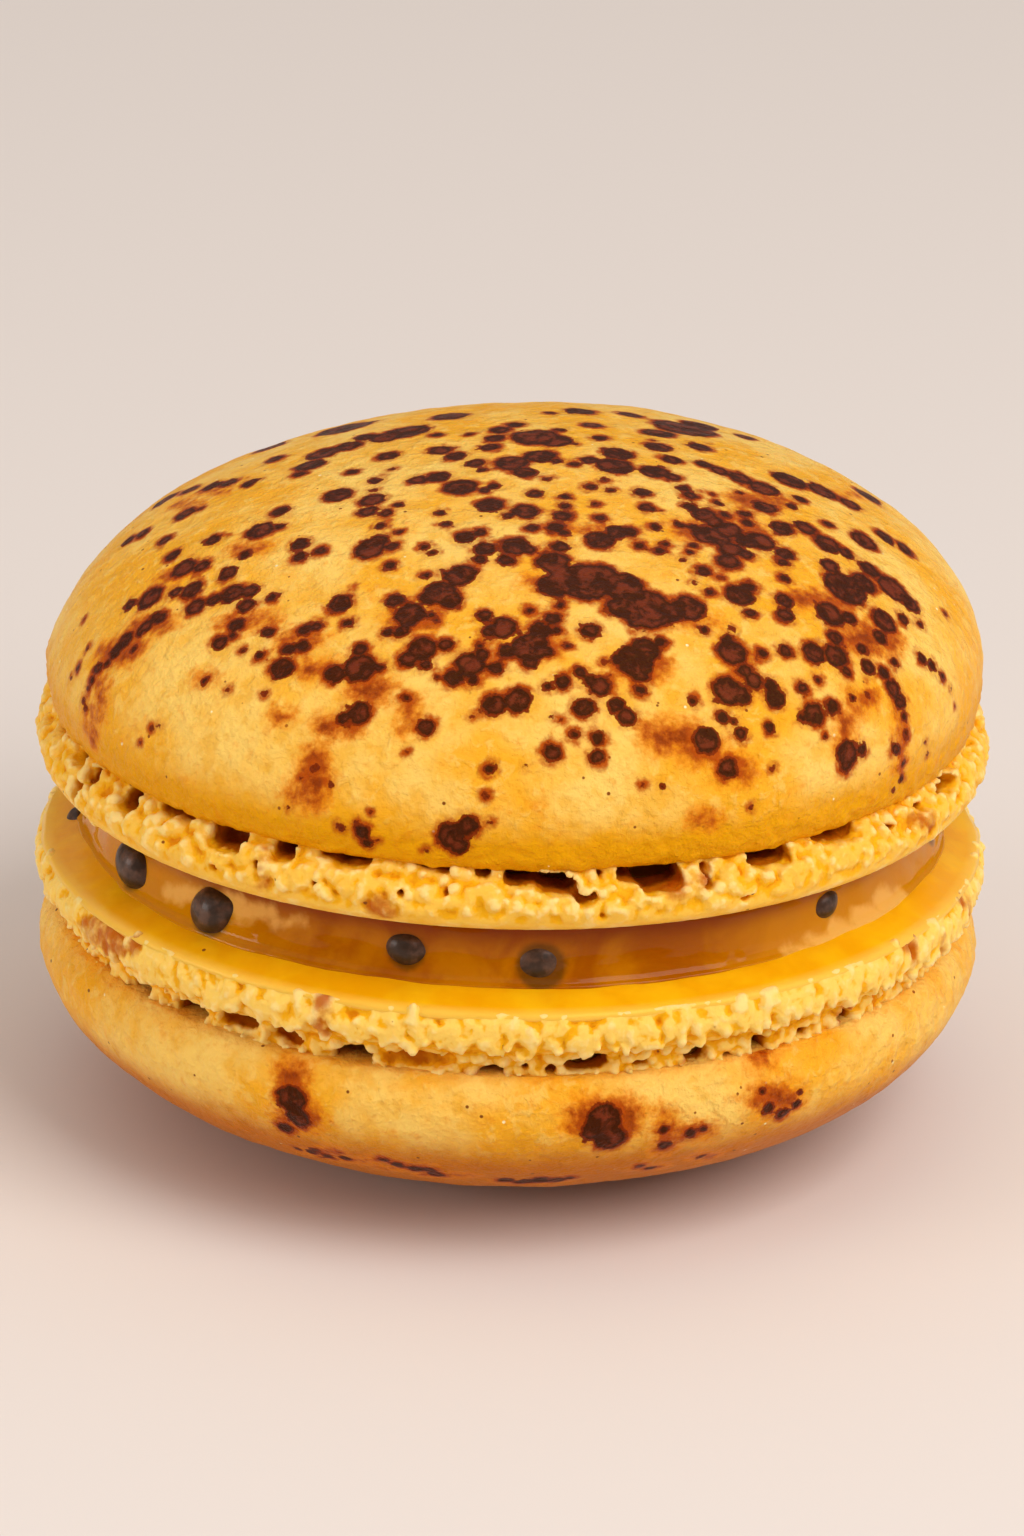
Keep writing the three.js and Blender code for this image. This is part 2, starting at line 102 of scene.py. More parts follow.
# Drops that the photograph shows on the upper cap: pixel across, pixel down and width
upper_drops_seen = (
    (345, 428, 60), (450, 416, 40), (408, 432, 48), (385, 437, 36), (365, 437, 26), (437, 435, 16),
    (350, 446, 30), (335, 450, 22), (388, 456, 26), (352, 472, 18), (392, 469, 10), (470, 434, 12),
    (500, 430, 26), (515, 425, 22), (495, 438, 24), (490, 447, 24), (535, 437, 50), (556, 441, 38),
    (560, 430, 16), (512, 463, 38), (525, 472, 28), (540, 456, 36), (556, 461, 16), (440, 450, 28),
    (455, 456, 26), (475, 463, 24), (482, 470, 14), (418, 480, 24), (438, 477, 28), (460, 487, 38),
    (485, 490, 16), (495, 486, 16), (550, 413, 14), (580, 411, 34), (592, 425, 24), (600, 438, 20),
    (630, 415, 28), (618, 454, 36), (615, 466, 42), (590, 460, 22), (575, 464, 16), (605, 480, 12),
    (375, 481, 18), (374, 490, 12), (372, 500, 30), (368, 511, 24), (398, 505, 14), (386, 513, 18),
    (338, 495, 34), (380, 526, 16), (399, 532, 12), (370, 549, 36), (378, 541, 24), (392, 546, 18),
    (490, 505, 34), (525, 511, 32), (508, 516, 16), (440, 513, 15), (446, 524, 16), (547, 479, 13),
    (535, 494, 20), (565, 497, 16), (565, 506, 16), (563, 516, 24), (465, 537, 26), (480, 532, 18),
    (485, 549, 28), (515, 546, 34), (506, 560, 22), (530, 550, 18), (480, 559, 18), (556, 527, 22),
    (565, 533, 16), (532, 528, 18), (425, 547, 15), (433, 553, 14), (460, 575, 36), (474, 572, 16),
    (425, 576, 15), (390, 566, 18), (440, 592, 38), (450, 600, 28), (428, 598, 24), (590, 487, 17),
    (611, 490, 14), (595, 504, 12), (600, 518, 18), (560, 547, 22), (553, 562, 38), (600, 540, 34),
    (617, 532, 28), (585, 582, 60), (555, 585, 40), (563, 575, 36), (622, 587, 48), (602, 573, 32),
    (645, 609, 62), (622, 607, 36), (688, 608, 40), (668, 612, 36), (637, 622, 24), (685, 429, 68),
    (700, 425, 40), (658, 433, 36), (658, 447, 32), (700, 447, 28), (672, 460, 24), (704, 464, 22),
    (720, 471, 24), (655, 472, 34), (672, 477, 22), (745, 437, 24), (740, 478, 30), (764, 488, 36),
    (790, 480, 40), (740, 493, 12), (822, 491, 36), (800, 499, 18), (792, 506, 16), (850, 504, 26),
    (868, 496, 34), (683, 488, 18), (690, 495, 20), (712, 494, 10), (642, 492, 22), (690, 507, 20),
    (705, 515, 30), (765, 507, 30), (647, 508, 20), (718, 503, 14), (725, 515, 16), (745, 514, 18),
    (748, 523, 18), (733, 525, 10), (708, 535, 38), (760, 541, 36), (782, 528, 28), (805, 528, 28),
    (730, 549, 30), (728, 561, 30), (746, 554, 20), (695, 528, 18), (680, 525, 16), (655, 527, 16),
    (630, 532, 22), (785, 554, 24), (783, 562, 18), (828, 524, 16), (828, 544, 34), (864, 541, 34),
    (846, 553, 22), (885, 537, 26), (905, 549, 24), (830, 566, 26), (870, 570, 30), (845, 588, 52),
    (864, 583, 34), (893, 589, 42), (910, 603, 28), (640, 546, 16), (665, 544, 14), (660, 551, 18),
    (693, 545, 13), (690, 552, 12), (683, 560, 10), (703, 571, 20), (720, 577, 11), (785, 578, 16),
    (740, 595, 34), (750, 587, 20), (710, 592, 14), (695, 583, 9), (165, 500, 30), (190, 490, 24),
    (212, 486, 24), (228, 483, 24), (250, 483, 22), (275, 459, 22), (270, 447, 36), (310, 465, 36),
    (322, 454, 38), (345, 446, 26), (300, 474, 18), (185, 514, 26), (200, 509, 13), (280, 511, 24),
    (260, 530, 34), (280, 527, 15), (213, 540, 22), (245, 555, 18), (300, 544, 24), (300, 557, 20),
    (320, 551, 18), (128, 541, 20), (143, 533, 20), (165, 540, 20), (173, 555, 22), (184, 568, 32),
    (202, 566, 22), (228, 573, 24), (150, 598, 34), (130, 605, 20), (192, 590, 28), (175, 592, 18),
    (195, 607, 26), (213, 600, 20), (232, 594, 30), (250, 591, 24), (246, 606, 22), (273, 597, 16),
    (155, 617, 18), (237, 625, 22), (220, 643, 22), (232, 636, 14), (268, 632, 18), (305, 630, 20),
    (316, 626, 18), (289, 649, 20), (302, 646, 20), (282, 668, 30), (243, 650, 10), (260, 656, 14),
    (205, 681, 12), (228, 690, 8), (264, 694, 9), (152, 728, 7), (159, 727, 8), (140, 742, 5),
    (140, 632, 16), (125, 641, 24), (115, 652, 20), (107, 663, 14), (134, 649, 12), (88, 688, 8),
    (86, 708, 10), (84, 620, 8), (88, 648, 9), (78, 668, 12), (71, 678, 8), (340, 604, 30),
    (348, 623, 16), (360, 650, 20), (360, 668, 38), (335, 674, 26), (380, 668, 14), (360, 713, 28),
    (344, 718, 18), (426, 727, 22), (405, 698, 12), (395, 600, 24), (410, 614, 36), (402, 631, 20),
    (388, 632, 16), (432, 615, 13), (437, 621, 10), (422, 649, 34), (446, 645, 20), (408, 659, 24),
    (425, 664, 18), (485, 616, 20), (503, 628, 32), (488, 632, 18), (540, 631, 28), (556, 630, 16),
    (553, 619, 22), (530, 610, 14), (530, 647, 42), (508, 651, 24), (547, 651, 18), (530, 662, 22),
    (560, 605, 14), (590, 631, 24), (567, 645, 12), (481, 645, 12), (605, 662, 10), (470, 665, 34),
    (482, 655, 20), (454, 678, 24), (473, 680, 16), (496, 668, 20), (437, 677, 7), (472, 717, 7),
    (494, 705, 28), (518, 700, 32), (584, 708, 26), (562, 682, 20), (580, 673, 18), (600, 686, 26),
    (589, 680, 18), (548, 686, 14), (616, 706, 22), (626, 716, 24), (635, 661, 44), (646, 650, 34),
    (640, 673, 26), (618, 660, 18), (660, 642, 18), (640, 690, 17), (552, 753, 22), (597, 757, 19),
    (598, 738, 18), (575, 735, 14), (490, 769, 15), (562, 720, 6), (552, 717, 6), (407, 751, 7),
    (526, 766, 6), (486, 796, 9), (750, 613, 16), (704, 630, 14), (732, 629, 10), (785, 615, 24),
    (785, 601, 24), (830, 614, 36), (849, 618, 22), (835, 638, 22), (884, 621, 34), (903, 619, 18),
    (920, 624, 12), (880, 637, 22), (862, 649, 18), (732, 652, 36), (728, 640, 18), (762, 653, 15),
    (786, 651, 18), (745, 671, 22), (753, 680, 24), (728, 690, 36), (742, 695, 24), (771, 686, 20),
    (775, 698, 26), (814, 653, 30), (836, 656, 32), (868, 667, 22), (884, 673, 18), (895, 663, 14),
    (846, 671, 16), (922, 659, 17), (932, 666, 17), (942, 676, 12), (803, 688, 16), (818, 679, 12),
    (853, 698, 12), (868, 695, 9), (893, 689, 24), (900, 701, 22), (904, 716, 14), (906, 734, 13),
    (896, 749, 17), (903, 763, 10), (901, 779, 12), (893, 790, 9), (814, 714, 28), (832, 707, 20),
    (802, 717, 14), (847, 754, 32), (862, 749, 17), (846, 764, 22), (723, 717, 18), (734, 722, 11),
    (741, 733, 17), (770, 728, 15), (693, 701, 14), (706, 740, 32), (728, 768, 24), (663, 786, 8),
    (643, 785, 7), (773, 768, 7), (752, 807, 8), (926, 742, 7), (927, 754, 6), (951, 690, 6),
    (955, 706, 5), (945, 614, 9), (340, 827, 12), (362, 832, 19), (367, 843, 15), (357, 822, 7),
    (426, 851, 9), (451, 836, 32), (468, 826, 25), (458, 845, 24), (490, 822, 6), (315, 768, 11),
    (331, 784, 8), (302, 778, 5), (289, 808, 5), (370, 812, 5), (690, 888, 10),
    (728, 530, 34), (745, 541, 26), (715, 522, 24), (736, 549, 22), (722, 540, 26), (160, 618, 20),
    (146, 626, 22), (118, 648, 20), (98, 668, 18), (92, 680, 14), (84, 700, 10),
)
# Rust-coloured smears of thinner syrup there: pixel across, pixel down, width and height
upper_smears = (
    (250, 548, 36, 18), (215, 492, 34, 12), (190, 503, 30, 12), (100, 672, 18, 60), (86, 715, 9, 40),
    (316, 775, 34, 46), (302, 795, 22, 20), (335, 725, 34, 24), (675, 738, 52, 36), (700, 750, 40, 26),
    (735, 770, 26, 24), (900, 735, 18, 90), (885, 640, 30, 18), (862, 700, 24, 20), (320, 668, 24, 20),
    (845, 735, 26, 30), (410, 715, 20, 24), (282, 717, 16, 12), (203, 678, 16, 12), (760, 500, 50, 30),
    (180, 575, 40, 12), (590, 530, 60, 16), (850, 495, 40, 10), (705, 820, 22, 14),
    (150, 625, 40, 26), (122, 650, 34, 32), (102, 690, 16, 60), (92, 725, 12, 40), (368, 690, 30, 26),
    (250, 620, 60, 20), (300, 640, 40, 20), (720, 530, 90, 40), (820, 600, 60, 26), (870, 640, 40, 40),
    (560, 580, 70, 20), (690, 620, 60, 18), (410, 620, 40, 26), (530, 645, 50, 22), (640, 665, 40, 30),
)


def surface_relief(points, seed, waves, lumpy=False):
    """How far a surface stands out at each point, as the sum of waves of a length and a size.
    Lumpy waves are round on top, with sharp creases between them."""
    noise_apart = (7.3, 3.1, 5.7)
    offset = Vector([seed * step for step in noise_apart])
    relief = np.zeros(len(points))
    for length, size in waves:
        wave = np.array([noise.noise(Vector(point) / length + offset) for point in points])
        relief += size * (np.abs(wave) if lumpy else wave)
    return relief


def points_of(mesh):
    """The places of a mesh's vertices, as rows."""
    places = np.empty(len(mesh.vertices) * 3)
    mesh.vertices.foreach_get("co", places)
    return places.reshape(-1, 3)


def move_points(mesh, places):
    """Moves a mesh's vertices to new places, given as rows."""
    mesh.vertices.foreach_set("co", places.ravel())
    mesh.update()


def finished(name, shape):
    """What bmesh operators have shaped, as a mesh."""
    mesh = bpy.data.meshes.new(name)
    shape.to_mesh(mesh)
    shape.free()
    return mesh


def meringue_cap(name, side, belly_radius, belly_height, crown, power_across, power_up, lean,
                 lip_drop, lip_inset, seed):
    """A dome that rises (side 1) or hangs (side -1) from its belly, closed under its lip."""
    lip_share = 0.15
    fineness = 8
    ball = bmesh.new()
    bmesh.ops.create_icosphere(ball, subdivisions=fineness, radius=1.0)
    bmesh.ops.bisect_plane(
        ball, geom=ball.verts[:] + ball.edges[:] + ball.faces[:], dist=1e-7,
        plane_co=(0, 0, -lip_share), plane_no=(0, 0, -1), clear_outer=True)
    bmesh.ops.contextual_create(ball, geom=[edge for edge in ball.edges if edge.is_boundary])
    bmesh.ops.triangulate(ball, faces=[face for face in ball.faces if len(face.verts) > 3])
    mesh = finished(name, ball)
    if side < 0:
        mesh.flip_normals()

    unit = points_of(mesh)
    level = np.hypot(unit[:, 0], unit[:, 1])
    rise = np.clip(unit[:, 2], 0, 1)
    tuck = np.clip(-unit[:, 2] / lip_share, 0, 1) * math.pi / 2
    above = unit[:, 2] > 0
    radius = np.where(
        above, belly_radius * level ** (2 / power_across),
        belly_radius - lip_inset * (1 - np.cos(tuck)))
    height = np.where(above, crown * rise ** (2 / power_up), -lip_drop * np.sin(tuck))
    heading = unit[:, :2] / np.maximum(level, 1e-9)[:, None]
    place = np.column_stack((
        heading[:, 0] * radius + lean * rise ** (2 / power_up), heading[:, 1] * radius,
        belly_height + side * height))
    outward = unit * (1, 1, side)
    near_foot = np.clip(1 - (side * (place[:, 2] - belly_height) + lip_drop) / crumbly_band, 0, 1)
    relief = surface_relief(place, seed, crust_waves)
    relief += near_foot * surface_relief(place, seed + 1, crumbly_waves, lumpy=True)
    place += outward * relief[:, None]
    place[:, 2] = np.maximum(place[:, 2], 0)
    move_points(mesh, place)
    mesh.shade_smooth()
    return mesh


def surface_of(mesh):
    """A mesh as a surface that sight lines can be cast on."""
    mesh.calc_loop_triangles()
    faces = [tuple(triangle.vertices) for triangle in mesh.loop_triangles]
    return BVHTree.FromPolygons([vertex.co for vertex in mesh.vertices], faces)


def any_way(chance):
    """A direction at random."""
    return Vector([chance.gauss(0, 1) for _ in range(3)]).normalized()


def drops_at(surface, pixels, chance):
    """Drops, as rows of place and radius, where pixels show them, with scalloped edges."""
    drops = []
    for pixel_x, pixel_y, width in pixels:
        place, _, _, distance = surface.ray_cast(camera.location, sight_line(pixel_x, pixel_y))
        if place:
            radius = half_length(width, distance)
            drops.append((*place, radius))
            add_splashes(drops, place, radius, chance)
    return drops


def add_splashes(drops, place, radius, chance):
    """Small drops that a larger one threw off: some at its edge and some just outside it."""
    smallest_that_splashes = 0.35 * MM
    share_with_stray = 0.45
    if radius < smallest_that_splashes:
        return
    for _ in range(chance.randint(3, 7)):
        to_edge = any_way(chance) * radius * chance.uniform(0.8, 1.1)
        drops.append((*(place + to_edge), radius * chance.uniform(0.14, 0.30)))
    if chance.random() < share_with_stray:
        to_stray = any_way(chance) * radius * chance.uniform(1.4, 2.2)
        drops.append((*(place + to_stray), chance.uniform(0.10, 0.20) * MM))


def smears_at(surface, pixels):
    """Smears, each a chain of drops along the ellipse that its pixels give."""
    drops = []
    links = 5
    share_of_length = 0.7
    for pixel_x, pixel_y, width, height in pixels:
        for k in range(links):
            along = (k / (links - 1) - 0.5) * share_of_length
            upright = height > width
            place, _, _, distance = surface.ray_cast(camera.location, sight_line(
                pixel_x + along * width * (not upright), pixel_y + along * height * upright))
            if place:
                drops.append((*place, half_length(min(width, height), distance)))
    return drops


def thrown_drops(mesh, count, likely, chance):
    """Spatter at random over a mesh, in groups, where its vertices are likely to be hit."""
    smallest, spread, mostly_small = 0.12, 0.95, 2.6
    how_many = (1, 1, 2, 4)
    drops = []
    while count > 0:
        vertex = mesh.vertices[chance.randrange(len(mesh.vertices))]
        if chance.random() > likely(vertex):
            continue
        count -= 1
        group = (smallest + spread * chance.random() ** mostly_small) * MM
        for _ in range(chance.choice(how_many)):
            place = vertex.co + any_way(chance) * group * chance.uniform(0.2, 1.3)
            radius = group * chance.uniform(0.45, 1.0)
            drops.append((*place, radius))
            add_splashes(drops, place, radius, chance)
    return drops


def depth_in_drops(points, drops):
    """How deep inside the nearest drop each point is, in millimetres, and below 0 outside."""
    reach = 0.8 * MM
    order = np.argsort(points[:, 0])
    across = points[order, 0]
    depth = np.full(len(points), -reach)
    for x, y, z, radius in drops:
        first, last = np.searchsorted(across, (x - radius - reach, x + radius + reach))
        near = order[first:last]
        depth[near] = np.maximum(
            depth[near], radius - np.linalg.norm(points[near] - (x, y, z), axis=1))
    return depth / MM


def store(mesh, name, values):
    """Keeps a value for each vertex under a name that the material reads."""
    mesh.attributes.new(name, "FLOAT", "POINT").data.foreach_set("value", values)


def spatter(mesh, drops_seen, smears_seen, thrown, likely, chance):
    """Stores how deep in the nearest drop, and in the nearest smear, a cap's vertices lie."""
    surface = surface_of(mesh)
    drops = drops_at(surface, drops_seen, chance)
    drops += thrown_drops(mesh, thrown, likely, chance)
    points = points_of(mesh)
    store(mesh, "spatter", depth_in_drops(points, drops))
    store(mesh, "smear", depth_in_drops(points, smears_at(surface, smears_seen)))


def add_piece(name, mesh, material, slot, *nodes):
    """Puts a mesh in the scene as a piece that stands for some nodes of the frame."""
    piece = bpy.data.objects.new(name, mesh)
    bpy.context.scene.collection.objects.link(piece)
    mesh.materials.clear()
    mesh.materials.append(material)
    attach(piece, "root")
    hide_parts(*nodes)


def add_node(tree, kind, inputs=None, **settings):
    """A shader node with its settings made, and its inputs set, or linked to a socket."""
    made = tree.nodes.new("ShaderNode" + kind)
    for setting, value in settings.items():
        setattr(made, setting, value)
    for place, value in (inputs or {}).items():
        if isinstance(value, bpy.types.NodeSocket):
            tree.links.new(value, made.inputs[place])
        else:
            made.inputs[place].default_value = value
    return made


def new_material(name, **shader_inputs):
    """A material, its tree, its shader and its Object coordinates."""
    material = bpy.data.materials.new(name)
    material.use_nodes = True
    tree = material.node_tree
    shader = tree.nodes["Principled BSDF"]
    for place, value in shader_inputs.items():
        shader.inputs[place.replace("_", " ")].default_value = value
    return material, tree, shader, add_node(tree, "TexCoord").outputs["Object"]


def grain(tree, where, size, detail=3.0, roughness=0.55, distortion=0.0):
    """Noise from 0 to 1 whose blotches are about the given size across."""
    return add_node(tree, "TexNoise", {
        "Vector": where, "Scale": 1 / size, "Detail": detail, "Roughness": roughness,
        "Distortion": distortion,
    }).outputs["Fac"]


def stored(tree, name):
    """What the mesh keeps for each vertex under a name."""
    return add_node(tree, "Attribute", attribute_name=name).outputs["Fac"]


def sums(tree, operation, first, second):
    """A sum, product or the like of two values."""
    return add_node(tree, "Math", {0: first, 1: second}, operation=operation).outputs[0]


def centred(tree, noise_value):
    """Noise from 0 to 1, moved to lie about 0."""
    return sums(tree, "SUBTRACT", noise_value, 0.5)


def frayed(tree, value, raggedness, amount):
    """A value with some noise added, so that what depends on it has an uneven edge."""
    return sums(tree, "ADD", value, sums(tree, "MULTIPLY", raggedness, amount))


def fade(tree, value, start, end, share=1.0):
    """0 where the value is at start, a share where it is at end, and smooth between them."""
    return add_node(tree, "MapRange", {
        "Value": value, "From Min": start, "From Max": end, "To Max": share,
    }, interpolation_type="SMOOTHSTEP").outputs["Result"]


def tint(tree, share, under, over):
    """One colour laid over another, by a share."""
    return add_node(
        tree, "Mix", {0: share, 6: under, 7: over}, data_type="RGBA").outputs[2]


def flecks(tree, where, spacing, width, share):
    """Round flecks scattered on a surface, in a share of the places that they could take."""
    cells = add_node(tree, "TexVoronoi", {"Vector": where, "Scale": 1 / spacing})
    sharpness = 0.6
    near = fade(
        tree, cells.outputs["Distance"], width / spacing, sharpness * width / spacing)
    pick = add_node(tree, "SeparateColor", {0: cells.outputs["Color"]}).outputs[0]
    return sums(tree, "MULTIPLY", near, sums(tree, "LESS_THAN", pick, share))


def bumped(tree, shader, *layers):
    """Gives the shader a relief made of layers, each a height from 0 to 1 and its size."""
    normal = None
    for height, size in layers:
        inputs = {"Height": height, "Distance": size}
        if normal:
            inputs["Normal"] = normal
        normal = add_node(tree, "Bump", inputs).outputs["Normal"]
    tree.links.new(normal, shader.inputs["Normal"])


golden = (0.93, 0.425, 0.020, 1)
cream = (0.97, 0.61, 0.135, 1)
deep_yellow = (0.82, 0.35, 0.001, 1)
# painted shade, for the underside of the lower cap
underside_shade_amber = (0.60, 0.17, 0.001, 1)
rust = (0.46, 0.070, 0.002, 1)
syrup_orange = (0.80, 0.24, 0.002, 1)
dried_rim = (0.21, 0.020, 0.001, 1)
scorch_brown = (0.050, 0.006, 0.001, 1)
dried_plum = (0.20, 0.028, 0.010, 1)
speck_brown = (0.25, 0.07, 0.01, 1)
sugar_white = (1.0, 0.86, 0.50, 1)
syrup_tint = (1.0, 0.70, 0.22, 1)


def crust_material(name, low_tone_and_shade, deep_height, deep_reach):
    """Baked meringue crust, mottled, wrinkled and finely grained, with dried brown spatter.
    A deeper colour fills it below a height, and fades out over a reach above that: the crust's
    own deeper yellow on the upper cap, painted shade on the underside of the lower cap."""
    material, tree, shader, where = new_material(
        name, Subsurface_Weight=0.1, Subsurface_Scale=0.7 * MM, Specular_IOR_Level=0.17,
        Specular_Tint=syrup_tint)
    mottle = grain(tree, where, 5.5 * MM)
    blotches = grain(tree, where, 1.5 * MM, detail=4, roughness=0.6)
    wrinkles = grain(tree, where, 0.8 * MM, detail=6, roughness=0.6, distortion=0.35)
    colour = tint(tree, fade(tree, mottle, 0.36, 0.66), golden, cream)
    colour = tint(tree, fade(tree, wrinkles, 0.50, 0.64, 0.6), colour, cream)
    colour = tint(tree, fade(tree, blotches, 0.50, 0.34, 0.45), colour, deep_yellow)
    # Below a height, the deeper colour: the crust's own on the upper cap, painted shade on the lower
    # cap.
    height = add_node(tree, "SeparateXYZ", {0: where}).outputs[2]
    uneven = frayed(tree, height, blotches, 1.2 * MM)
    deep = fade(tree, uneven, deep_height + deep_reach, deep_height)
    colour = tint(tree, deep, colour, low_tone_and_shade)
    colour = tint(tree, flecks(tree, where, 1.1 * MM, 0.11 * MM, 0.45), colour, speck_brown)
    colour = tint(tree, flecks(tree, where, 0.9 * MM, 0.10 * MM, 0.10), colour, sugar_white)

    ragged = centred(tree, grain(tree, where, 0.42 * MM, detail=5))
    depth = frayed(tree, stored(tree, "spatter"), ragged, 0.50)
    smear = frayed(tree, stored(tree, "smear"), ragged, 1.5)
    smear = frayed(tree, smear, centred(tree, blotches), 1.6)
    colour = tint(tree, fade(tree, smear, -0.75, 0.1, 0.8), colour, syrup_orange)
    colour = tint(tree, fade(tree, smear, -0.25, 0.5, 0.9), colour, rust)
    colour = tint(tree, fade(tree, smear, 0.25, 0.8, 0.8), colour, dried_rim)
    halo = sums(tree, "MULTIPLY", fade(tree, depth, -0.36, -0.02), fade(tree, blotches, 0.34, 0.56))
    colour = tint(tree, halo, colour, rust)
    dried = fade(tree, depth, -0.01, 0.05)
    colour = tint(tree, dried, colour, dried_rim)
    colour = tint(tree, fade(tree, depth, 0.08, 0.20), colour, scorch_brown)
    pale = sums(
        tree, "MULTIPLY", fade(tree, depth, 0.20, 0.45), fade(tree, wrinkles, 0.44, 0.60, 0.8))
    colour = tint(tree, pale, colour, dried_plum)
    tree.links.new(colour, shader.inputs["Base Color"])

    fine = grain(tree, where, 0.34 * MM, detail=3)
    smoothest, roughened = 0.28, 0.25
    tree.links.new(frayed(tree, smoothest, fine, roughened), shader.inputs["Roughness"])
    bumped(
        tree, shader, (blotches, 0.20 * MM), (wrinkles, 0.26 * MM), (fine, 0.12 * MM),
        (dried, 0.03 * MM))
    return material


def likely_behind(vertex):
    """Spatter on the side that the camera doesn't see, thickest on top and none below."""
    return vertex.normal.z if vertex.normal.dot(view_direction) > 0 else 0.0


upper_cap_mesh = meringue_cap(
    "upper_cap", side=1, belly_radius=23.35 * MM, belly_height=upper_belly,
    crown=crown_height - upper_belly, power_across=1.92, power_up=2.0, lean=1.6 * MM,
    lip_drop=1.8 * MM, lip_inset=1.0 * MM, seed=3)
spatter(
    upper_cap_mesh, upper_drops_seen, upper_smears, thrown=260, likely=likely_behind,
    chance=random.Random(5))
upper_crust = crust_material(
    "crust_upper", deep_yellow, deep_height=upper_belly + 0.1 * MM, deep_reach=2.2 * MM)
add_piece("upper_cap", upper_cap_mesh, upper_crust, "shell", "shell_upper")


# Upper foot: the froth that rose under the crust as it dried, a ring of crumbs and curds that
# fills the crease up to the crust, with burst bubbles there. Curds are heaped on a ring, fused
# by a fine remesh and cut open. Heights are measured from the flat face towards the crown.
fused = ("REMESH", {"mode": "VOXEL", "voxel_size": 0.12 * MM})
froth_triangles = 190000
ring_steps = 240
curdle_waves = ((0.8 * MM, 0.16 * MM), (0.34 * MM, 0.11 * MM))
core_inner = 21.4 * MM
upper_profile = (  # height and outer radius, in millimetres
    (0.12, 23.15), (0.35, 23.52), (0.7, 23.75), (1.2, 23.86), (1.7, 23.78), (2.2, 23.50),
    (2.6, 23.22), (3.0, 23.02), (3.7, 22.85),
)
upper_courses = (  # count, lowest and highest, smallest and largest, how far sunk, how tall
    (330, 0.95, 2.25, 0.40, 0.78, 0.66, 1.0),
    (620, 0.80, 2.60, 0.16, 0.40, 0.55, 1.0),
    (360, 2.55, 2.90, 0.14, 0.30, 0.95, 1.2),
)
# Burst bubbles that the photograph shows: pixel across and down, width, height, depth in mm
upper_bubbles_seen = (
    (88, 752, 14, 16, 1.2), (98, 778, 17, 15, 1.0), (78, 794, 10, 22, 0.9),
    (132, 802, 20, 18, 1.5), (172, 806, 20, 14, 1.2), (190, 812, 18, 14, 1.0),
    (230, 836, 40, 20, 1.3), (286, 850, 26, 15, 1.4), (331, 852, 22, 10, 0.8),
    (353, 857, 40, 14, 1.6), (428, 863, 52, 9, 1.3), (483, 871, 20, 12, 1.1),
    (519, 877, 34, 14, 1.6), (556, 884, 46, 15, 1.7), (588, 899, 26, 9, 1.0),
    (599, 873, 9, 8, 0.7), (602, 915, 7, 7, 0.6), (630, 872, 30, 16, 1.3),
    (660, 877, 45, 19, 2.2), (704, 868, 10, 8, 0.7), (767, 856, 46, 14, 1.6),
    (832, 831, 48, 15, 1.2), (886, 827, 13, 7, 0.8), (940, 786, 22, 12, 1.3),
    (917, 806, 12, 7, 0.7), (260, 862, 9, 8, 0.5), (215, 866, 9, 6, 0.4), (317, 882, 10, 6, 0.4),
    (402, 891, 10, 8, 0.5), (447, 893, 9, 7, 0.4), (745, 897, 10, 6, 0.4), (706, 884, 12, 7, 0.6),
)
# Burnt patches there: pixel across and down, width and height
upper_burnt_seen = ((688, 884, 36, 26), (916, 820, 22, 20), (268, 873, 18, 22), (382, 905, 26, 20))


def ball_template(subdivisions):
    """A ball of radius 1 to copy."""
    ball = bmesh.new()
    bmesh.ops.create_icosphere(ball, subdivisions=subdivisions, radius=1.0)
    return finished("ball", ball)


def heap_copy(heap, template, matrix):
    """Adds a copy of a template to a heap."""
    copy = template.copy()
    copy.transform(matrix)
    heap.from_mesh(copy)
    bpy.data.meshes.remove(copy)


def with_modifiers(mesh, *steps):
    """The mesh as some modifiers leave it, each given as its type and its settings."""
    holder = bpy.data.objects.new("holder", mesh)
    bpy.context.scene.collection.objects.link(holder)
    for kind, settings in steps:
        modifier = holder.modifiers.new(kind, kind)
        for setting, value in settings.items():
            setattr(modifier, setting, value)
    shaped = holder.evaluated_get(bpy.context.evaluated_depsgraph_get())
    result = bpy.data.meshes.new_from_object(shaped)
    bpy.data.objects.remove(holder)
    return result


def round_place(azimuth, radius, height):
    """A place given by its azimuth in radians, its radius and its height."""
    return Vector((radius * math.cos(azimuth), radius * math.sin(azimuth), height))


def spun_ring(profile, steps):
    """A closed outline of radii and heights, turned about the upright axis."""
    ring = bmesh.new()
    corners = [ring.verts.new((radius, 0, height)) for radius, height in profile]
    for corner, following in zip(corners, corners[1:] + corners[:1]):
        ring.edges.new((corner, following))
    bmesh.ops.spin(
        ring, geom=ring.verts[:] + ring.edges[:], axis=(0, 0, 1), cent=(0, 0, 0),
        angle=2 * math.pi, steps=steps, use_merge=True)
    bmesh.ops.remove_doubles(ring, verts=ring.verts[:], dist=1e-7)
    on_the_axis = [edge for edge in ring.edges if not edge.link_faces]
    bmesh.ops.delete(ring, geom=on_the_axis, context="EDGES")
    bmesh.ops.recalc_face_normals(ring, faces=ring.faces[:])
    return ring


def bubbles_at(surface, pixels):
    """Bubbles where pixels show them: each its place, half width, half height and depth.
    Each is taller than it looks, as it runs on behind the edge of the crust."""
    behind_crust = 1.35
    most_turned = 0.4
    bubbles = []
    for pixel_x, pixel_y, width, height, depth in pixels:
        place, _, _, distance = surface.ray_cast(camera.location, sight_line(pixel_x, pixel_y))
        if not place:
            continue
        along = Vector((-place.y, place.x, 0)).normalized()
        turned_away = max(most_turned, math.sqrt(1 - along.dot(view_direction) ** 2))
        half_pixel = half_length(1, distance)
        bubbles.append((
            place, width * half_pixel / turned_away,
            height * half_pixel / math.cos(view_elevation) * behind_crust, depth * MM))
    return bubbles


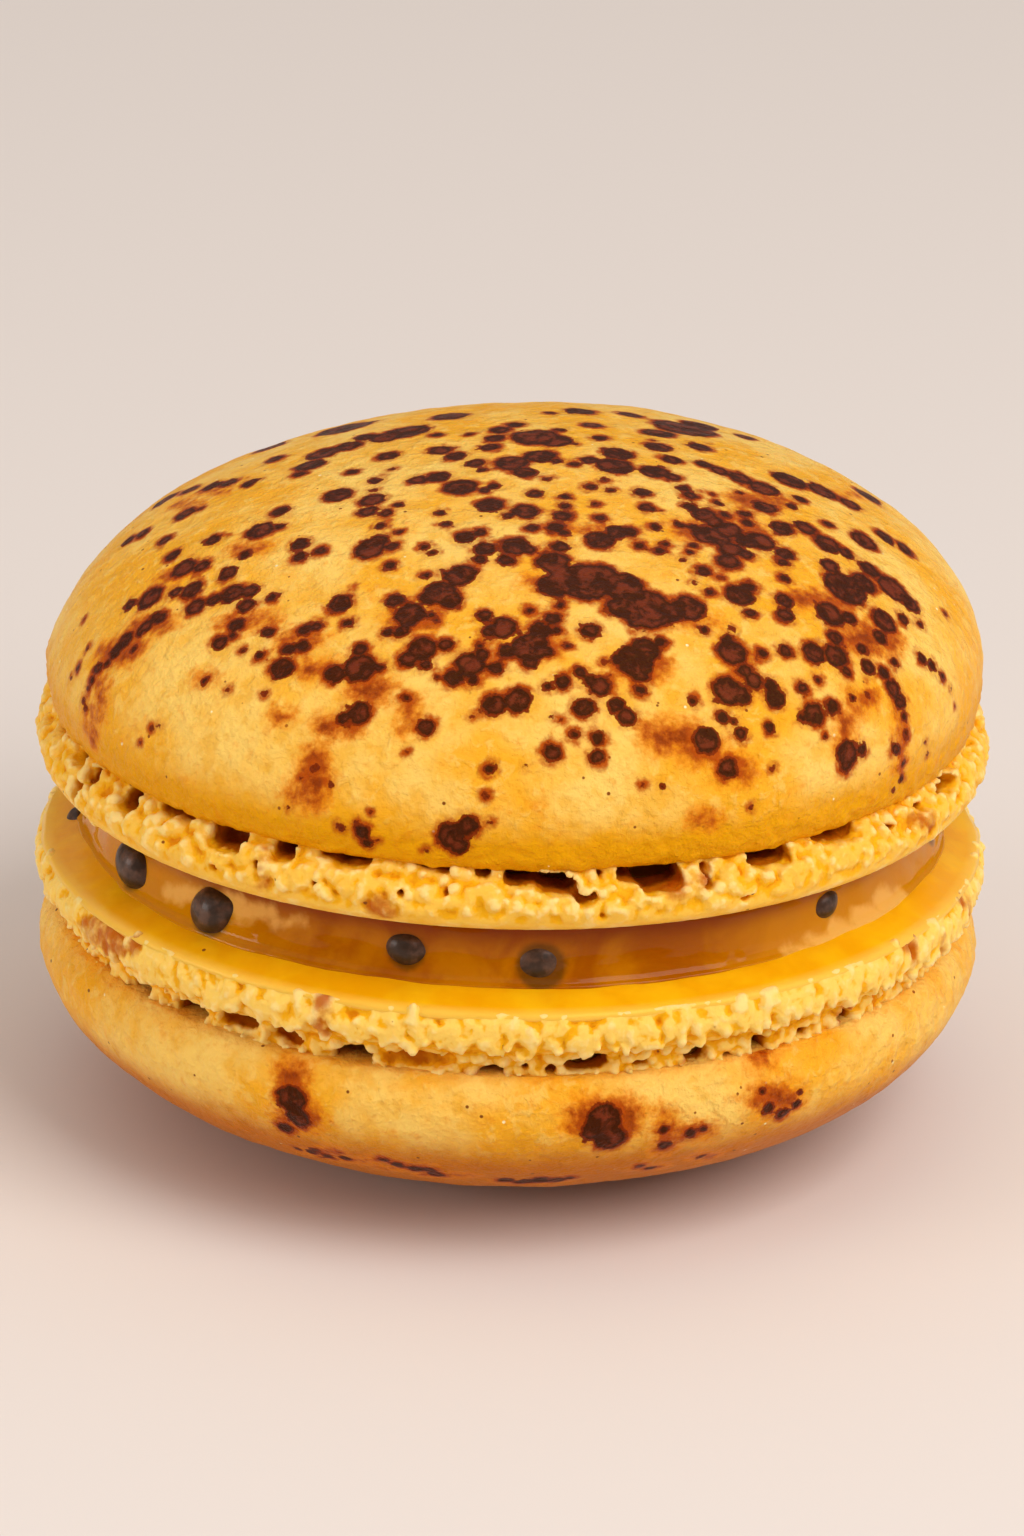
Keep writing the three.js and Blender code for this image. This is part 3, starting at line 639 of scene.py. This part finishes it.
def bubbles_behind(height, radius, spacing, chance):
    """Bubbles of like sizes on the side that the camera doesn't see."""
    bubbles = []
    azimuth = math.radians(-12)
    last = math.radians(194)
    while azimuth < last:
        half_width = chance.uniform(0.35, 1.35) * MM
        azimuth += half_width / radius
        lift = chance.gauss(0, 0.15) * MM
        bubbles.append((
            round_place(azimuth, radius, height + lift), half_width,
            chance.uniform(0.25, 0.5) * MM, chance.uniform(0.8, 1.9) * MM))
        azimuth += (half_width + chance.uniform(0.3, spacing) * MM) / radius
    return bubbles


def bubble_mesh(bubbles, chance):
    """Rounded boxes, laid on the rim and fused, that cut the bubbles open."""
    boxy = 3.5
    tilt = 0.15
    wall_waves = ((1.2 * MM, 0.25 * MM),)
    box = ball_template(4)
    for vertex in box.vertices:
        vertex.co /= sum(abs(step) ** boxy for step in vertex.co) ** (1 / boxy)
    heap = bmesh.new()
    for place, half_width, half_height, depth in bubbles:
        heap_copy(
            heap, box, Matrix.Translation(place)
            @ Matrix.Rotation(math.atan2(place.y, place.x), 4, "Z")
            @ Matrix.Rotation(chance.gauss(0, tilt), 4, "X")
            @ Matrix.Diagonal((depth, half_width, half_height, 1)))
    mesh = finished("bubbles", heap)
    places = points_of(mesh)
    outward = places * (1, 1, 0) / np.hypot(places[:, 0], places[:, 1])[:, None]
    move_points(mesh, places + outward * surface_relief(places, 2, wall_waves)[:, None])
    return with_modifiers(mesh, fused)


def normals_of(mesh):
    """The directions that a mesh's vertices face, as rows."""
    normals = np.empty(len(mesh.vertices) * 3)
    mesh.vertices.foreach_get("normal", normals)
    return normals.reshape(-1, 3)


def cleft_depths(mesh, rounds):
    """How far each vertex lies under the mesh when that is smoothed, in millimetres."""
    places = points_of(mesh)
    ends = np.empty(len(mesh.edges) * 2, dtype=np.int64)
    mesh.edges.foreach_get("vertices", ends)
    first, second = ends.reshape(-1, 2).T
    count = len(places)
    links = np.bincount(first, minlength=count) + np.bincount(second, minlength=count)
    smoothed = places.copy()
    for _ in range(rounds):
        pulled = np.column_stack([
            np.bincount(first, smoothed[second, axis], count)
            + np.bincount(second, smoothed[first, axis], count) for axis in range(3)])
        smoothed = (smoothed + pulled / links[:, None]) / 2
    return ((smoothed - places) * normals_of(mesh)).sum(axis=1) / MM


def froth_ring(side, face_height, profile, lip_end):
    """The ring that curds are heaped on, from the flat face up (side 1) or down (side -1)."""
    curd_depth = 0.38
    outline = [(core_inner, face_height + side * profile[0][0] * MM)]
    for height, radius in profile:
        draw_in = curd_depth * min(1, max(0, (height - lip_end) / lip_end))
        outline.append(((radius - draw_in) * MM, face_height + side * height * MM))
    outline.append((core_inner, face_height + side * profile[-1][0] * MM))
    return spun_ring(outline, ring_steps)


def froth_foot(name, side, face_height, profile, lip_end, courses, bubbles_seen, burnt_seen,
               bubble_height, seed):
    """The frothy ring of a shell, from its flat face up (side 1) or down (side -1). Up to the
    lip's end, in millimetres, it is smooth."""
    chance = random.Random(seed)
    heights = np.array([height for height, _ in profile]) * MM
    radii = np.array([radius for _, radius in profile]) * MM
    froth = froth_ring(side, face_height, profile, lip_end)
    ring = bpy.data.meshes.new(name + "_ring")
    froth.to_mesh(ring)
    ring_surface = surface_of(ring)
    bubbles = bubbles_at(ring_surface, bubbles_seen)
    bubble_radius = float(np.interp(bubble_height, heights, radii))
    bubbles += bubbles_behind(face_height + side * bubble_height, bubble_radius, 1.3, chance)

    crumbs = []
    crumb_kinds = 8
    for _ in range(crumb_kinds):
        crumb = ball_template(2)
        for vertex in crumb.vertices:
            vertex.co *= chance.uniform(0.78, 1.12)
        crumbs.append(crumb)
    for count, lowest, highest, smallest, largest, sunk, tall in courses:
        for k in range(count):
            azimuth = 2 * math.pi * (k + chance.random()) / count
            height = chance.uniform(lowest, highest) * MM
            size = (smallest + (largest - smallest) * chance.random() ** 1.5) * MM
            radius = float(np.interp(height, heights, radii)) - sunk * size
            shape = Matrix.Diagonal((
                size * chance.uniform(0.7, 0.9), size * chance.uniform(0.7, 1.1),
                size * tall * chance.uniform(0.8, 1.2), 1))
            turn = Matrix.Rotation(azimuth, 4, "Z") @ Matrix.Rotation(
                chance.gauss(0, 0.45 / tall), 4, "X") @ Matrix.Rotation(
                chance.gauss(0, 0.3 / tall), 4, "Y")
            place = Matrix.Translation(round_place(azimuth, radius, face_height + side * height))
            heap_copy(froth, chance.choice(crumbs), place @ turn @ shape)

    cutter = bpy.data.objects.new("cutter", bubble_mesh(bubbles, chance))
    bpy.context.scene.collection.objects.link(cutter)
    mesh = with_modifiers(
        finished(name, froth), fused,
        ("BOOLEAN", {"operation": "DIFFERENCE", "object": cutter, "solver": "MANIFOLD"}),
        fused, ("SMOOTH", {"factor": 0.4, "iterations": 1}))
    bpy.data.objects.remove(cutter)
    places = points_of(mesh)
    rise = side * (places[:, 2] - face_height) / MM
    lip_fade, on_lip = 0.4, 0.12
    above_lip = np.clip((rise - lip_end) / lip_fade, on_lip, 1)
    curdled = surface_relief(places, seed, curdle_waves, lumpy=True) * above_lip
    move_points(mesh, places + normals_of(mesh) * curdled[:, None])
    mesh.calc_loop_triangles()
    spare = froth_triangles / len(mesh.loop_triangles)
    if spare < 1:
        mesh = with_modifiers(
            mesh, ("DECIMATE", {"ratio": spare, "use_collapse_triangulate": True}))
    places = points_of(mesh)
    outline = np.interp(side * (places[:, 2] - face_height), heights, radii)
    store(mesh, "depth", (outline - np.hypot(places[:, 0], places[:, 1])) / MM)
    store(mesh, "cleft", cleft_depths(mesh, rounds=24))
    store(mesh, "burnt", depth_in_drops(places, smears_at(ring_surface, burnt_seen)))
    mesh.shade_smooth()
    return mesh


# Froth colours: a painted highlight for the tips of the curds, then the froth's own light and cream,
# then painted shade for its clefts, yellow and orange, and for its holes, amber and brown.
tip_highlight_pale = (0.98, 0.72, 0.27, 1)
curd_light = (0.98, 0.62, 0.12, 1)
curd_cream = (0.95, 0.54, 0.07, 1)
cleft_shade_yellow = (0.92, 0.44, 0.008, 1)
cleft_shade_orange = (0.76, 0.26, 0.001, 1)
hole_shade_amber = (0.50, 0.13, 0.002, 1)
hole_shade_brown = (0.20, 0.028, 0.001, 1)


def froth_material(name, cream_curds):
    """Meringue froth, its own cream on the curds, with a painted highlight pale on their tips,
    painted shade orange in its clefts and painted shade red-brown in its holes.
    """
    material, tree, shader, where = new_material(
        name, Subsurface_Weight=0.15, Subsurface_Scale=0.5 * MM, Specular_IOR_Level=0.18,
        Roughness=0.42, Specular_Tint=syrup_tint)
    patches = centred(tree, grain(tree, where, 1.3 * MM, detail=4))
    # Painted shade and painted highlight: clefts between the curds are painted yellow to orange as
    # shade, and the tips of the curds are painted pale as a highlight.
    cleft_shade_and_highlight = frayed(tree, stored(tree, "cleft"), patches, 0.34)
    colour = tint(tree, fade(tree, cleft_shade_and_highlight, -0.04, 0.03), cream_curds, cleft_shade_yellow)
    colour = tint(tree, fade(tree, cleft_shade_and_highlight, 0.05, 0.15), colour, cleft_shade_orange)
    colour = tint(tree, fade(tree, cleft_shade_and_highlight, -0.07, -0.16, 0.8), colour, tip_highlight_pale)
    # Painted shade: deeper into the holes the froth is painted amber, then red-brown.
    deep = frayed(tree, stored(tree, "depth"), patches, 0.6)
    colour = tint(tree, fade(tree, deep, 0.45, 0.85), colour, hole_shade_amber)
    colour = tint(tree, fade(tree, deep, 1.0, 1.6), colour, hole_shade_brown)
    toasted = grain(tree, where, 3.2 * MM, detail=3)
    colour = tint(tree, fade(tree, toasted, 0.68, 0.76, 0.7), colour, rust)
    burnt = frayed(tree, stored(tree, "burnt"), patches, 1.6)
    colour = tint(tree, fade(tree, burnt, -0.3, 0.3, 0.85), colour, rust)
    colour = tint(tree, flecks(tree, where, 1.4 * MM, 0.12 * MM, 0.35), colour, speck_brown)
    tree.links.new(colour, shader.inputs["Base Color"])
    fine = grain(tree, where, 0.25 * MM, detail=3)
    bumped(tree, shader, (fine, 0.06 * MM))
    return material


upper_foot_mesh = froth_foot(
    "upper_foot", side=1, face_height=upper_face, profile=upper_profile, lip_end=0.7,
    courses=upper_courses, bubbles_seen=upper_bubbles_seen, burnt_seen=upper_burnt_seen,
    bubble_height=2.9 * MM, seed=21)
add_piece(
    "upper_foot", upper_foot_mesh, froth_material("froth_upper", curd_cream), "shell",
    "shell_upper")


# Jelly: set passion fruit curd, a wet amber disc with a hollowed side, swollen over the seeds
# that are caught in it. It is a turned solid, rippled, and darker round the seeds.
jelly_side = (  # height above the lower shell's rim, and the radius there, in millimetres
    (-0.35, 22.0), (0.0, 21.95), (0.50, 21.88), (0.64, 21.72), (0.82, 21.60), (1.3, 21.46),
    (1.9, 21.33), (2.5, 21.26), (3.0, 21.32), (3.5, 21.45), (4.2, 21.9),
)
jelly_steps = 480
jelly_ripples = ((7 * MM, 0.18 * MM), (2.6 * MM, 0.10 * MM), (1.1 * MM, 0.04 * MM))

# Seeds that the photograph shows: pixel across and down, how far proud in millimetres, turn, size
seeds_seen = (
    (76, 822, 0.50, 20, 0.85), (136, 866, 0.90, -25, 1.30), (213, 912, 0.80, 30, 1.32),
    (407, 951, 0.42, -10, 1.02), (541, 966, 0.26, 10, 1.28), (826, 904, 0.45, 15, 0.80),
)
# Seeds elsewhere: azimuth in degrees, height above the lower shell, how far proud, turn, size
seeds_behind = (
    (348, 2.0, 0.40, -30, 1.0), (22, 1.7, 0.30, 60, 0.9), (47, 2.1, 0.50, 10, 1.1),
    (81, 1.8, 0.20, -50, 1.0), (103, 2.1, 0.40, 25, 0.95), (140, 1.7, 0.25, -15, 1.05),
    (161, 2.0, 0.40, 70, 0.9),
)
seed_half_size = Vector((1.15, 0.95, 0.80)) * MM

# Painted reflections: pale streaks where the jelly's wet side mirrors the table and lights.
# Each is pixel across and down, width and height
painted_reflections_seen = (
    (184, 893, 44, 14), (222, 902, 50, 18), (256, 912, 44, 14), (290, 922, 40, 8), (800, 950, 36, 8),
    (824, 942, 40, 14), (848, 931, 42, 20), (872, 918, 40, 24), (892, 902, 28, 28),
)


def jelly_disc():
    """The jelly as a turned solid, with rows of faces up its side, and ripples there."""
    outline = [(radius * MM, lower_face + height * MM) for height, radius in jelly_side]
    turned = spun_ring([(0, outline[0][1])] + outline + [(0, outline[-1][1])], jelly_steps)
    side_edges = [
        edge for edge in turned.edges
        if all(math.hypot(*vert.co.xy) > core_inner - 1 * MM for vert in edge.verts)
        and abs(edge.verts[0].co.z - edge.verts[1].co.z) > 0.01 * MM]
    bmesh.ops.subdivide_edges(turned, edges=side_edges, cuts=3, use_grid_fill=False)
    mesh = finished("jelly", turned)
    push_side_out(mesh, surface_relief(points_of(mesh), 9, jelly_ripples))
    return mesh


def push_side_out(mesh, amounts):
    """Moves the vertices of the jelly's side outwards."""
    places = points_of(mesh)
    across = np.hypot(places[:, 0], places[:, 1])
    outward = places * (1, 1, 0) / np.maximum(across, 1e-6)[:, None]
    on_side = across > core_inner - 1 * MM
    move_points(mesh, places + outward * (amounts * on_side)[:, None])


def seed_places(surface):
    """Where each seed touches the jelly's side, how far proud it stands, its turn and size."""
    well_outside = 30 * MM
    places = []
    for pixel_x, pixel_y, proud, turn, size in seeds_seen:
        place, _, _, _ = surface.ray_cast(camera.location, sight_line(pixel_x, pixel_y))
        places.append((place, proud * MM, turn, size))
    for azimuth, height, proud, turn, size in seeds_behind:
        inward = round_place(math.radians(azimuth), -1, 0)
        start = round_place(math.radians(azimuth), well_outside, lower_face + height * MM)
        places.append((surface.ray_cast(start, inward)[0], proud * MM, turn, size))
    return places


def swell_over_seeds(mesh, seeds):
    """Swells the jelly a little round each seed, and shades it there."""
    swell_share, swell_reach = 0.15, 2.0
    shade_reach, shade_blur = 1.12, 0.5
    places = points_of(mesh)
    swell = np.zeros(len(places))
    shade = np.zeros(len(places))
    for place, proud, _, size in seeds:
        gap = np.linalg.norm(places - np.array(place), axis=1) / MM
        nearness = np.clip(1 - (gap / swell_reach) ** 2, 0, 1)
        swell = np.maximum(swell, swell_share * proud * nearness ** 2)
        shade = np.maximum(shade, np.clip((shade_reach * size - gap) / shade_blur, 0, 1))
    push_side_out(mesh, swell)
    store(mesh, "seed_shade", shade)


jelly_brown = (0.37, 0.092, 0.0001, 1)
jelly_amber = (0.52, 0.175, 0.0001, 1)
jelly_gold = (0.60, 0.225, 0.0001, 1)
# painted shade, for the jelly's top under the upper rim
jelly_shaded = (0.24, 0.038, 0.0001, 1)
# painted reflection, pale where the wet side mirrors the table
reflection_pale = (0.93, 0.52, 0.12, 1)
jelly_over_seed = (0.085, 0.036, 0.003, 1)


def jelly_material(name):
    """Glossy amber curd, with painted shade at its top under the upper shell's rim, painted
    reflections in pale streaks on its wet side, and a blur round its seeds.
    """
    material, tree, shader, where = new_material(
        name, Roughness=0.4, Subsurface_Weight=0.15, Subsurface_Scale=0.8 * MM,
        Specular_IOR_Level=0.0, Coat_Weight=1.0, Coat_Roughness=0.04, Coat_IOR=1.2)
    cloud = fade(tree, grain(tree, where, 3.5 * MM, detail=4, distortion=0.6), 0.36, 0.64)
    colour = tint(tree, cloud, jelly_brown, jelly_amber)
    place = add_node(tree, "SeparateXYZ", {0: where})
    sideways, height = place.outputs[0], place.outputs[2]
    from_middle = sums(tree, "MULTIPLY", sideways, sideways)
    side_starts, side_whole = 50 * MM ** 2, 240 * MM ** 2
    colour = tint(tree, fade(tree, from_middle, side_starts, side_whole), colour, jelly_gold)
    # Painted shade: the top of the jelly, under the rim of the upper shell, is painted dark brown.
    shade_under_rim = fade(tree, height, lower_face + 2.0 * MM, lower_face + 3.4 * MM)
    colour = tint(tree, shade_under_rim, colour, jelly_shaded)
    ragged = centred(tree, grain(tree, where, 0.9 * MM, detail=4))
    # Painted reflection: the jelly is painted pale in streaks where its wet side mirrors the table.
    painted_reflection = frayed(tree, stored(tree, "painted_reflection"), ragged, 1.0)
    colour = tint(tree, fade(tree, painted_reflection, -0.35, 0.25, 0.62), colour, reflection_pale)
    shade = frayed(tree, stored(tree, "seed_shade"), ragged, 0.6)
    colour = tint(tree, fade(tree, shade, 0.1, 0.9, 0.7), colour, jelly_over_seed)
    tree.links.new(colour, shader.inputs["Base Color"])
    bumped(tree, shader, (grain(tree, where, 1.2 * MM, detail=3), 0.10 * MM))
    return material


jelly = jelly_disc()
jelly_surface = surface_of(jelly)
seeds_in_jelly = seed_places(jelly_surface)
swell_over_seeds(jelly, seeds_in_jelly)
# Where the painted reflections lie on the jelly
store(jelly, "painted_reflection", depth_in_drops(points_of(jelly), smears_at(jelly_surface, painted_reflections_seen)))
jelly.shade_smooth()
add_piece("jelly", jelly, jelly_material("jelly_curd"), "jelly", "jelly_filling")


# Seeds: flat dark passion fruit seeds, half sunk in the jelly's side. Each is a fine ball,
# flattened and drawn out to a point at one end.
seed_taper = 0.35
seed_black = (0.030, 0.015, 0.006, 1)
seed_grey = (0.105, 0.052, 0.030, 1)
seed_gleam = (1.0, 0.82, 0.80, 1)


def seed_shapes(name):
    """Every seed in one mesh, each a ball drawn out to a point and laid on the jelly's side."""
    seeds = bmesh.new()
    seed = ball_template(4)
    for vertex in seed.vertices:
        taper = 1 - seed_taper * max(0.0, vertex.co.x) ** 2
        vertex.co.y *= taper
        vertex.co.z *= taper
    for place, proud, turn, size in seeds_in_jelly:
        half_size = seed_half_size * size
        outward = Vector((place.x, place.y, 0)).normalized()
        centre = place + outward * (proud - half_size.z)
        lie = outward.to_track_quat("Z", "Y").to_matrix().to_4x4()
        heap_copy(
            seeds, seed, Matrix.Translation(centre) @ lie
            @ Matrix.Rotation(math.radians(turn), 4, "Z") @ Matrix.Diagonal((*half_size, 1)))
    mesh = finished(name, seeds)
    mesh.shade_smooth()
    return mesh


seed_coat, seed_tree, seed_shader, seed_where = new_material(
    "seed_coat", Roughness=0.42, Specular_IOR_Level=0.35, Specular_Tint=seed_gleam,
    Coat_Weight=0.15, Coat_Roughness=0.18)
seed_grain = fade(seed_tree, grain(seed_tree, seed_where, 0.8 * MM, detail=4), 0.40, 0.66)
seed_tree.links.new(
    tint(seed_tree, seed_grain, seed_black, seed_grey), seed_shader.inputs["Base Color"])
bumped(seed_tree, seed_shader, (grain(seed_tree, seed_where, 0.4 * MM), 0.05 * MM))
add_piece("seeds", seed_shapes("seeds"), seed_coat, "jelly", "jelly_filling")


# Flat faces: the smooth undersides of the shells, soaked yellow by the jelly. Each is a thin
# turned disc with a rounded rim that shows beyond the jelly.
disc_thickness = 0.9 * MM
rim_waves = ((4 * MM, 0.12 * MM), (1.2 * MM, 0.05 * MM))
soaked_deep = (0.90, 0.41, 0.001, 1)
soaked_bright = (0.97, 0.52, 0.004, 1)


def flat_disc(name, side, face_height, radius, dome):
    """A disc whose face stands out by its dome in the middle and falls away to its rim."""
    fall = (
        (0, -dome), (radius - 2.2 * MM, -dome), (radius - 0.7 * MM, 0.03 * MM),
        (radius - 0.25 * MM, 0.12 * MM), (radius, 0.35 * MM), (radius - 0.15 * MM, 0.6 * MM),
        (radius - 1.2 * MM, disc_thickness), (0, disc_thickness),
    )
    mesh = finished(name, spun_ring(
        [(across, face_height + side * drop) for across, drop in fall], ring_steps))
    places = points_of(mesh)
    rim = np.hypot(places[:, 0], places[:, 1]) > radius - 0.9 * MM
    wave = surface_relief(places, side + 3, rim_waves) * rim
    places += (places / radius) * (1, 1, 0) * wave[:, None]
    move_points(mesh, places)
    across = np.hypot(places[:, 0], places[:, 1])
    store(mesh, "rim", np.clip((across - radius + 0.40 * MM) / (0.25 * MM), 0, 1))
    mesh.shade_smooth()
    return mesh


soaked, soaked_tree, soaked_shader, soaked_where = new_material(
    "soaked_face", Roughness=0.30, Subsurface_Weight=0.1, Subsurface_Scale=0.8 * MM,
    Specular_Tint=syrup_tint)
blotch = grain(soaked_tree, soaked_where, 2.5 * MM)
soaked_colour = tint(soaked_tree, fade(soaked_tree, blotch, 0.35, 0.7), soaked_deep, soaked_bright)
soaked_colour = tint(
    soaked_tree, flecks(soaked_tree, soaked_where, 1.5 * MM, 0.12 * MM, 0.35), soaked_colour,
    speck_brown)
soaked_colour = tint(soaked_tree, stored(soaked_tree, "rim"), soaked_colour, curd_cream)
soaked_tree.links.new(soaked_colour, soaked_shader.inputs["Base Color"])
bumped(soaked_tree, soaked_shader, (blotch, 0.1 * MM))
add_piece(
    "upper_flat", flat_disc("upper_flat", 1, upper_face, radius=23.25 * MM, dome=0), soaked,
    "shell", "shell_upper")
add_piece(
    "lower_flat", flat_disc("lower_flat", -1, lower_face, radius=23.72 * MM, dome=0.6 * MM), soaked,
    "shell", "shell_lower")


# Lower foot: the same froth on the lower shell, which lies upside down, so its curds hang
# like short drips over a recess of smaller bubbles.
lower_profile = (
    (0.12, 23.45), (0.35, 23.66), (0.8, 23.82), (1.4, 23.92), (2.0, 23.86), (2.3, 23.50),
    (2.6, 23.00), (3.2, 22.82), (4.1, 22.80), (4.6, 22.60),
)
lower_courses = (
    (330, 0.95, 1.50, 0.32, 0.58, 0.62, 1.9),
    (620, 0.35, 2.20, 0.15, 0.34, 0.50, 1.5),
    (260, 2.70, 3.50, 0.18, 0.46, 0.90, 1.0),
    (260, 3.50, 3.90, 0.14, 0.24, 0.90, 1.0),
)
lower_bubbles_seen = (
    (145, 993, 24, 20, 1.8), (112, 968, 12, 12, 0.8), (193, 1011, 34, 16, 1.3),
    (240, 1019, 40, 15, 1.0), (288, 1034, 34, 15, 0.8), (353, 1056, 42, 20, 2.2),
    (420, 1058, 80, 14, 0.4), (490, 1073, 30, 12, 1.5), (525, 1066, 10, 8, 0.8),
    (551, 1070, 14, 9, 0.9), (586, 1062, 46, 14, 1.1), (640, 1062, 18, 9, 0.6),
    (695, 1053, 24, 15, 1.7), (727, 1056, 12, 8, 0.7), (757, 1045, 18, 18, 1.4),
    (800, 1030, 16, 9, 0.8), (842, 1015, 20, 12, 1.1), (880, 1006, 14, 8, 0.7),
    (912, 990, 14, 9, 0.9), (275, 1046, 5, 4, 0.4), (385, 1070, 4, 4, 0.3),
    (402, 1072, 4, 4, 0.3), (420, 1073, 4, 4, 0.3), (438, 1073, 4, 4, 0.3),
    (462, 1075, 4, 4, 0.3), (306, 1060, 4, 4, 0.3), (320, 1062, 4, 4, 0.3),
)
lower_burnt_seen = (
    (108, 930, 40, 26), (126, 944, 34, 24), (323, 1012, 24, 28), (908, 945, 22, 26), (960, 905, 18, 22),
    (485, 1076, 44, 18), (840, 1018, 20, 22),
)
lower_foot_mesh = froth_foot(
    "lower_foot", side=-1, face_height=lower_face, profile=lower_profile, lip_end=0.35,
    courses=lower_courses, bubbles_seen=lower_bubbles_seen, burnt_seen=lower_burnt_seen,
    bubble_height=3.2 * MM, seed=33)
add_piece(
    "lower_foot", lower_foot_mesh, froth_material("froth_lower", curd_light), "shell",
    "shell_lower")


# Lower cap: the crust of the lower shell, the same dome upside down and flattened over the
# small spot that it rests on, with fewer splashes.
lower_belly = lower_face - 6.0 * MM
lower_drops_seen = (
    (292, 1100, 34), (298, 1118, 30), (286, 1128, 20), (604, 1120, 40), (610, 1138, 36),
    (592, 1132, 26), (664, 1130, 14), (665, 1145, 18), (690, 1134, 16), (703, 1129, 12),
    (763, 1092, 11), (768, 1108, 17), (782, 1114, 19), (796, 1104, 14), (800, 1092, 9),
    (315, 1150, 14), (345, 1158, 16), (430, 1170, 18), (540, 1180, 24), (520, 1182, 18),
    (650, 1168, 14), (700, 1157, 12),
    (298, 1149, 12), (312, 1152, 16), (328, 1156, 16), (384, 1160, 14), (398, 1165, 18), (416, 1169, 20),
    (436, 1174, 20), (506, 1180, 20), (528, 1181, 22), (556, 1180, 22), (570, 1178, 14), (640, 1166, 12),
)
lower_smears = (
    (292, 1090, 32, 44), (300, 1118, 30, 30), (762, 1046, 24, 34), (604, 1118, 46, 44),
    (666, 1134, 24, 36), (698, 1132, 34, 16), (778, 1100, 44, 32), (320, 1152, 50, 14),
    (352, 1160, 44, 12), (404, 1168, 60, 14), (446, 1175, 60, 12), (535, 1181, 90, 10),
    (650, 1167, 26, 12), (702, 1157, 24, 12),
)


def likely_below(vertex):
    """A few splashes on the side of the lower crust that the camera doesn't see."""
    faces_down = -0.8
    hidden = vertex.normal.dot(view_direction) > 0
    return 1.0 if hidden and vertex.normal.z > faces_down else 0.0


lower_cap_mesh = meringue_cap(
    "lower_cap", side=-1, belly_radius=23.76 * MM, belly_height=lower_belly,
    crown=8.84 * MM, power_across=2.33, power_up=1.79, lean=0.0,
    lip_drop=2.2 * MM, lip_inset=1.2 * MM, seed=8)
spatter(
    lower_cap_mesh, lower_drops_seen, lower_smears, thrown=26, likely=likely_below,
    chance=random.Random(17))
# Painted shade: the lower cap is painted deep amber over its underside, which faces the table.
lower_crust = crust_material(
    "crust_lower", underside_shade_amber, deep_height=6.2 * MM, deep_reach=2.6 * MM)
add_piece("lower_cap", lower_cap_mesh, lower_crust, "shell", "shell_lower")


# The table and the light: a pale paper sheet, a broad soft light from the right and above, and
# weaker ones at the sides that the jelly's wet side mirrors.
paper_half_width = 1.2
paper_below = 0.02 * MM
paper_pale = (0.775, 0.705, 0.665, 1)
sheet = bmesh.new()
bmesh.ops.create_grid(sheet, x_segments=2, y_segments=2, size=paper_half_width)
bmesh.ops.translate(sheet, verts=sheet.verts[:], vec=(0, 0, -paper_below))
paper = bpy.data.objects.new("paper", finished("paper", sheet))
bpy.context.scene.collection.objects.link(paper)
paper_finish, _, _, _ = new_material(
    "paper", Base_Color=paper_pale, Roughness=0.9, Specular_IOR_Level=0.1)
paper.data.materials.append(paper_finish)


def soft_light(name, place, aim, width, height, power, colour):
    """A rectangular soft light that faces a point. Its power is in watts."""
    light_data = bpy.data.lights.new(name, "AREA")
    light_data.shape = "RECTANGLE"
    light_data.size = width
    light_data.size_y = height
    light_data.energy = power
    light_data.color = colour
    light = bpy.data.objects.new(name, light_data)
    light.location = place
    light.rotation_mode = "QUATERNION"
    light.rotation_quaternion = (Vector(aim) - Vector(place)).to_track_quat("-Z", "Y")
    bpy.context.scene.collection.objects.link(light)


middle = (0, 0, 15 * MM)
near_white = (1.0, 0.98, 0.96)
warm_white = (1.0, 0.95, 0.90)
warmer_white = (1.0, 0.93, 0.88)
soft_light(
    "key", (0.32, -0.31, 0.46), middle, width=0.42, height=0.42, power=2.6, colour=near_white)
soft_light(
    "right_card", (0.45, -0.12, 0.09), middle, width=0.22, height=0.16, power=0.16,
    colour=warmer_white)
soft_light(
    "left_card", (-0.45, -0.16, 0.12), middle, width=0.20, height=0.14, power=0.66,
    colour=warm_white)

room_low = (0.05, 0.045, 0.04, 1)
room_high = (0.74, 0.70, 0.66, 1)
world = bpy.data.worlds.new("room")
world.use_nodes = True
sky = world.node_tree
direction = add_node(sky, "TexCoord").outputs["Generated"]
way_up = add_node(sky, "SeparateXYZ", {0: direction}).outputs[2]
sky.links.new(
    tint(sky, fade(sky, way_up, 0.0, 0.75), room_low, room_high),
    sky.nodes["Background"].inputs["Color"])
bpy.context.scene.world = world
bpy.context.scene.view_settings.view_transform = "Standard"
